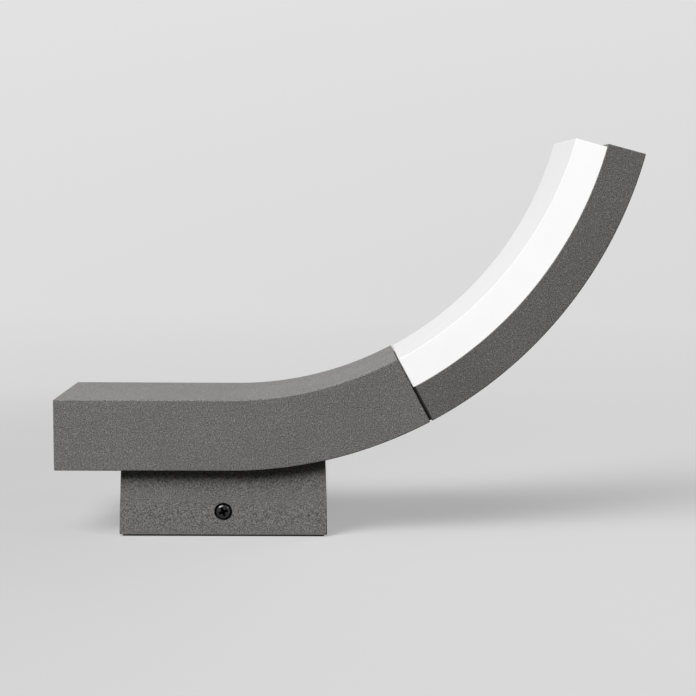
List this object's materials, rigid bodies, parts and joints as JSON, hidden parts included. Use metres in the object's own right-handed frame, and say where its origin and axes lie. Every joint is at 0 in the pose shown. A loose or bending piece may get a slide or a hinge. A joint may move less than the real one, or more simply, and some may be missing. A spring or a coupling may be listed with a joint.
{
  "type": "outdoor wall light",
  "caption": "Curved bar wall light: a box on the wall carries a rectangular arm that bends into a head with a metal back and an opal diffuser.",
  "frame": {"origin": "middle of the wall box, on the plane of the wall", "axes": "+Z away from the wall, +X along the arm towards the lit tip, +Y across the arm"},
  "size_m": [0.2458, 0.06, 0.1687],
  "materials": {
    "anthracite": "fine textured powder coat",
    "raw_aluminium": "milled",
    "zinc_steel": "zinc plated",
    "black_steel": "black oxide",
    "brass": "plain",
    "black_rubber": "matt",
    "silicone": "satin",
    "thermal_pad": "matt",
    "opal": "opal, lit from behind",
    "board_white": "white solder mask",
    "led": "phosphor in a white case",
    "case_white": "moulded",
    "block_cream": "moulded",
    "wire_input": "wire sheath",
    "wire_output": "wire sheath",
    "wire_earth": "wire sheath"
  },
  "bodies": {
    "bracket": {"wall_plate": "zinc_steel", "plate_tabs": "zinc_steel", "wall_gasket": "black_rubber", "cable_grommet": "black_rubber"},
    "light": {"wall_box": "anthracite", "box_seal": "black_rubber", "box_screws": "zinc_steel", "box_washers": "zinc_steel", "lead_bush": "black_rubber", "terminal_block": "block_cream", "terminal_tubes": "brass", "terminal_screws": "zinc_steel", "terminal_block_screws": "zinc_steel", "earth_screw": "brass", "earth_tag": "zinc_steel", "earth_lead": "wire_earth", "arm_housing": "anthracite", "led_driver": "case_white", "driver_screws": "zinc_steel", "driver_input_leads": "wire_input", "driver_output_leads": "wire_output", "joint_plate": "raw_aluminium", "joint_plate_screws": "zinc_steel", "joint_gasket": "black_rubber", "head_screws": "zinc_steel", "head_back": "anthracite", "thermal_pad": "thermal_pad", "led_board": "board_white", "leds": "led", "led_board_screws": "zinc_steel", "led_connector": "case_white", "diffuser": "opal", "diffuser_seal": "silicone"},
    "front_screw": {"side_screw_front": "black_steel"},
    "rear_screw": {"side_screw_rear": "black_steel"}
  },
  "joints": [
    {"name": "lift_off", "type": "slide", "parent": "bracket", "child": "light", "axis": [0, 0, 1], "range_m": [0, 0.035]},
    {"name": "front_screw_out", "type": "slide", "parent": "light", "child": "front_screw", "axis": [0, -1, 0], "range_m": [0, 0.006]},
    {"name": "rear_screw_out", "type": "slide", "parent": "light", "child": "rear_screw", "axis": [0, 1, 0], "range_m": [0, 0.006]}
  ]
}
